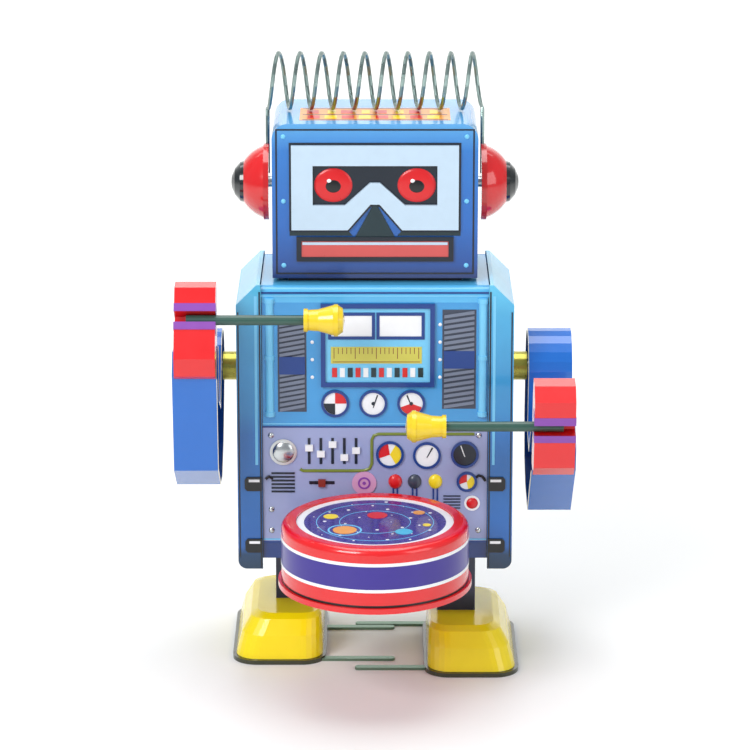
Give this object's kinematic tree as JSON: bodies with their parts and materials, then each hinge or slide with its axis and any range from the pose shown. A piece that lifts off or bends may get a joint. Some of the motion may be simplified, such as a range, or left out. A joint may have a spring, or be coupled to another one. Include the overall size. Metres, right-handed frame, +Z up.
{
  "type": "wind-up drummer robot",
  "caption": "Wind-up tin toy robot that walks on two feet and beats a drum at its waist with two jointed arms, under a wire coil on its head.",
  "frame": {"origin": "on the ground under the middle of the whole toy, drum and key included", "axes": "+Z up, the robot faces -Y, +X is the robot's left"},
  "size_m": [0.0874, 0.086, 0.1354],
  "materials": {
    "light_blue_print": "gloss",
    "blue_tin": "gloss",
    "dark_blue_tin": "gloss",
    "red_plastic": "gloss",
    "black_plastic": "gloss",
    "red_tin": "gloss",
    "indigo_print": "gloss",
    "yellow_tin": "gloss",
    "yellow_plastic": "gloss",
    "brass": "satin",
    "green_steel": "satin",
    "bright_steel": "satin"
  },
  "bodies": {
    "shell": {"torso_front": "light_blue_print", "torso_back": "blue_tin", "side_cover_left": "blue_tin", "side_cover_right": "blue_tin", "base_plate": "dark_blue_tin", "head_front": "blue_tin", "head_back": "blue_tin", "neck_plate": "dark_blue_tin", "ear_left": "red_plastic", "ear_right": "red_plastic", "ear_cap_left": "black_plastic", "ear_cap_right": "black_plastic", "ear_bolts": "bright_steel", "head_coil": "bright_steel", "drum_body": "red_tin", "drum_skin": "indigo_print", "drum_base": "red_tin", "drum_bracket": "bright_steel", "motor_frame": "bright_steel", "motor_front_plate": "bright_steel", "motor_pillars": "brass", "mainspring": "bright_steel", "crown_post": "bright_steel", "escape_post": "bright_steel", "pallet_post": "bright_steel", "guide_pins": "bright_steel"},
    "key_drive": {"key_arbor": "bright_steel", "winding_key": "bright_steel", "great_wheel": "brass", "ratchet_wheel": "bright_steel", "click": "bright_steel"},
    "second_arbor": {"second_wheel": "brass"},
    "crown": {"crown_wheel": "brass"},
    "crank_axle": {"crankshaft": "bright_steel", "crank_left": "brass", "crank_right": "brass"},
    "escape": {"escape_wheel": "brass"},
    "rocker": {"pallet": "bright_steel"},
    "left_leg": {"leg_left": "dark_blue_tin", "foot_left": "yellow_tin", "stabiliser_left": "bright_steel"},
    "right_leg": {"leg_right": "dark_blue_tin", "foot_right": "yellow_tin", "stabiliser_right": "bright_steel"},
    "left_arm": {"arm_left": "blue_tin", "hand_left": "red_tin", "stick_left": "green_steel", "stick_tip_left": "yellow_plastic", "shoulder_axle_left": "bright_steel", "shoulder_bush_left": "yellow_plastic", "arm_lever_left": "brass"},
    "right_arm": {"arm_right": "blue_tin", "hand_right": "red_tin", "stick_right": "green_steel", "stick_tip_right": "yellow_plastic", "shoulder_axle_right": "bright_steel", "shoulder_bush_right": "yellow_plastic", "arm_lever_right": "brass"}
  },
  "joints": [
    {"name": "crank_turn", "type": "hinge", "parent": "shell", "child": "crank_axle", "pos_m": [0, 0.014, 0.041], "axis": [1, 0, 0], "continuous": true},
    {"name": "left_leg_walk", "type": "hinge", "parent": "crank_axle", "child": "left_leg", "pos_m": [0.018, 0.01, 0.041], "axis": [1, 0, 0], "continuous": true},
    {"name": "right_leg_walk", "type": "hinge", "parent": "crank_axle", "child": "right_leg", "pos_m": [-0.018, 0.018, 0.041], "axis": [1, 0, 0], "continuous": true},
    {"name": "crown_turn", "type": "hinge", "parent": "shell", "child": "crown", "pos_m": [0, 0.019, 0.041], "axis": [0, 1, 0], "continuous": true},
    {"name": "second_turn", "type": "hinge", "parent": "shell", "child": "second_arbor", "pos_m": [0, 0.019, 0.053], "axis": [0, 1, 0], "continuous": true},
    {"name": "key_turn", "type": "hinge", "parent": "shell", "child": "key_drive", "pos_m": [0, 0.019, 0.066], "axis": [0, 1, 0], "continuous": true},
    {"name": "escape_turn", "type": "hinge", "parent": "shell", "child": "escape", "pos_m": [-0.0082, 0.02, 0.0453], "axis": [0, 1, 0], "continuous": true},
    {"name": "pallet_rock", "type": "hinge", "parent": "shell", "child": "rocker", "pos_m": [-0.0082, 0.0205, 0.0397], "axis": [0, 1, 0], "range_deg": [-7, 7]},
    {"name": "left_arm_swing", "type": "hinge", "parent": "shell", "child": "left_arm", "pos_m": [0.036, 0.013, 0.065], "axis": [1, 0, 0], "range_deg": [-42, 26]},
    {"name": "right_arm_swing", "type": "hinge", "parent": "shell", "child": "right_arm", "pos_m": [-0.036, 0.013, 0.065], "axis": [1, 0, 0], "range_deg": [0, 68]}
  ],
  "couplings": [
    {"joint": "left_leg_walk", "follows": "crank_turn", "ratio": -1},
    {"joint": "right_leg_walk", "follows": "crank_turn", "ratio": -1},
    {"joint": "crown_turn", "follows": "crank_turn", "ratio": -0.33333},
    {"joint": "second_turn", "follows": "crank_turn", "ratio": 0.11111},
    {"joint": "key_turn", "follows": "crank_turn", "ratio": -0.033333},
    {"joint": "escape_turn", "follows": "crank_turn", "ratio": -0.44444}
  ]
}
